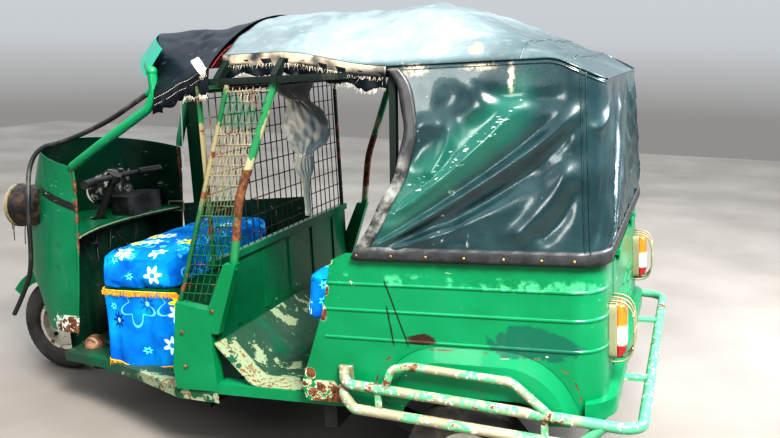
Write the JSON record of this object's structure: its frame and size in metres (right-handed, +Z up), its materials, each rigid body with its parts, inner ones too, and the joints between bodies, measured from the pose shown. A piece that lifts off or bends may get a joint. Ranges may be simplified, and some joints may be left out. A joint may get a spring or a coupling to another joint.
{
  "type": "auto rickshaw",
  "caption": "Three-wheeled auto rickshaw with a vinyl hood, driver's cab, passenger seat and guard tubes; worn, with its windscreen glass gone.",
  "frame": {"origin": "on the ground under the middle of the vehicle's length, on its centre plane", "axes": "+X forward, +Y to the vehicle's left, +Z up"},
  "size_m": [2.7342, 1.384, 1.5883],
  "materials": {
    "tyre": "worn and dusty",
    "wheel_paint": "chipped paint with rust",
    "black_steel": "black paint with rust",
    "green_paint": "faded, chipped and rusty gloss paint",
    "light_green_paint": "faded paint with rust",
    "white_paint": "chipped white paint over green, with rust",
    "cast_engine": "rough cast, oily",
    "hood_vinyl": "glossy creased vinyl cloth",
    "seat_fabric": "worn blue cloth with a plain flower pattern",
    "lamp_glass": "dusty clear glass",
    "lamp_plastic": "dusty lens",
    "black_plastic": "dusty",
    "curtain_cloth": "grey white cloth",
    "gasket_rubber": "weathered",
    "string": "white twisted string"
  },
  "bodies": {
    "body": {"b_post_left": "light_green_paint", "b_post_right": "light_green_paint", "bulkhead": "light_green_paint", "curtain": "curtain_cloth", "dash_box": "black_plastic", "dash_shelf": "light_green_paint", "driver_floor": "black_steel", "driver_seat_box": "green_paint", "driver_seat_cushion": "seat_fabric", "engine": "cast_engine", "front_cowl": "green_paint", "guard_frame": "white_paint", "headlamp_buckets": "green_paint", "headlamp_lens_right": "lamp_glass", "hood": "hood_vinyl", "hood_bows": "light_green_paint", "horn": "black_plastic", "loose_gasket": "gasket_rubber", "partition": "light_green_paint", "partition_grille": "light_green_paint", "passenger_backrest": "seat_fabric", "passenger_floor": "light_green_paint", "passenger_seat_box": "green_paint", "passenger_seat_cushion": "seat_fabric", "pull_string": "string", "quarter_panel_left": "green_paint", "quarter_panel_right": "green_paint", "rear_bumper": "green_paint", "rear_panel": "green_paint", "right_side_panel": "light_green_paint", "roof_cover": "hood_vinyl", "roof_visor": "green_paint", "side_grille_left": "light_green_paint", "sills": "green_paint", "steering_head": "black_steel", "string_knot": "string", "swing_arm_left": "black_steel", "swing_arm_right": "black_steel", "tail_lamp_housings": "black_plastic", "tail_lamp_lenses": "lamp_plastic", "underframe": "black_steel", "windscreen_frame": "light_green_paint"},
    "steering": {"steering_column": "black_steel", "handlebar": "black_steel", "mudguard": "green_paint"},
    "front_wheel": {"tyre_front": "tyre", "rim_front": "wheel_paint"},
    "rear_left_wheel": {"tyre_rear_left": "tyre", "rim_rear_left": "wheel_paint"},
    "rear_right_wheel": {"tyre_rear_right": "tyre", "rim_rear_right": "wheel_paint"},
    "hatch": {"engine_hatch": "green_paint"}
  },
  "joints": [
    {"name": "steer", "type": "hinge", "parent": "body", "child": "steering", "pos_m": [1.18066, 0, 0.20357], "axis": [-0.4367, 0, 0.8996], "range_deg": [-40, 40]},
    {"name": "front_spin", "type": "hinge", "parent": "steering", "child": "front_wheel", "pos_m": [1.14675, 0, 0.206], "axis": [0, 1, 0], "continuous": true},
    {"name": "rear_left_spin", "type": "hinge", "parent": "body", "child": "rear_left_wheel", "pos_m": [-0.86325, 0.595, 0.206], "axis": [0, 1, 0], "continuous": true},
    {"name": "rear_right_spin", "type": "hinge", "parent": "body", "child": "rear_right_wheel", "pos_m": [-0.86325, -0.595, 0.206], "axis": [0, 1, 0], "continuous": true},
    {"name": "hatch_hinge", "type": "hinge", "parent": "body", "child": "hatch", "pos_m": [-1.22738, 0, 0.83168], "axis": [0, 1, 0], "range_deg": [0, 75]}
  ]
}
